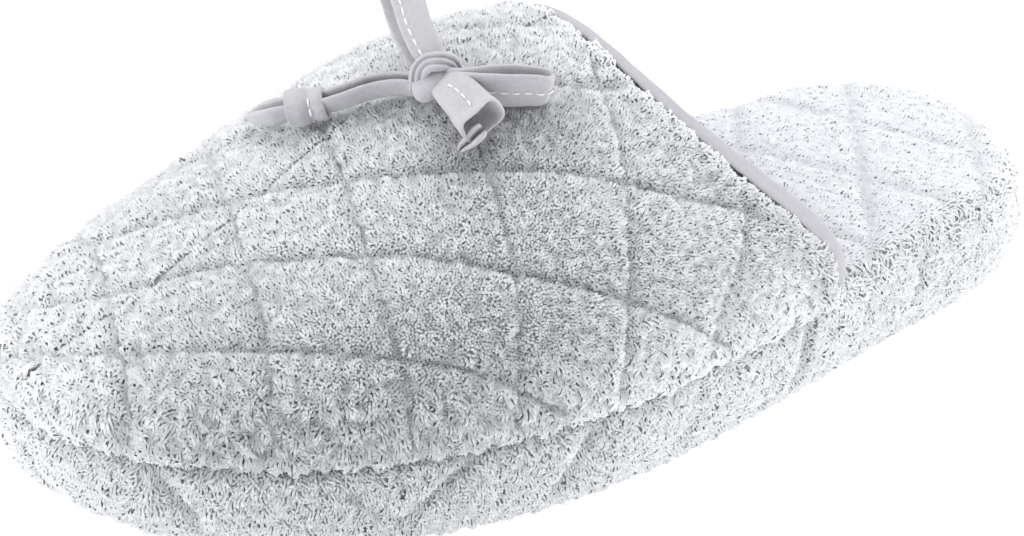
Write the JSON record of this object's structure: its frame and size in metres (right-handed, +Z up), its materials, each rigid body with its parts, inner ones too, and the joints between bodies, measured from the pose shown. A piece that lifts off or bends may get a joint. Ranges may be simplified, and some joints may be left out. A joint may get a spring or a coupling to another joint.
{
  "type": "house slipper",
  "caption": "Backless padded house slipper for the left foot: quilted towelling upper, insole and wrapped platform sole, bound collar and a tied ribbon bow.",
  "frame": {"origin": "middle of the outline on the floor plane, under the sole", "axes": "+X from toe to heel, +Y to the medial side, +Z up; the toe is at -X"},
  "size_m": [0.268, 0.1138, 0.0962],
  "materials": {
    "sole_towelling": "quilted looped towelling, cool pale grey",
    "insole_towelling": "quilted looped towelling, pale",
    "upper_towelling": "quilted looped towelling, cool grey",
    "binding_jersey": "smooth cotton jersey",
    "ribbon_jersey": "folded cotton jersey with a pale stitch line"
  },
  "bodies": {
    "root": {"sole": "sole_towelling", "insole": "insole_towelling", "upper": "upper_towelling", "collar_binding": "binding_jersey", "bow": "ribbon_jersey"}
  },
  "joints": []
}
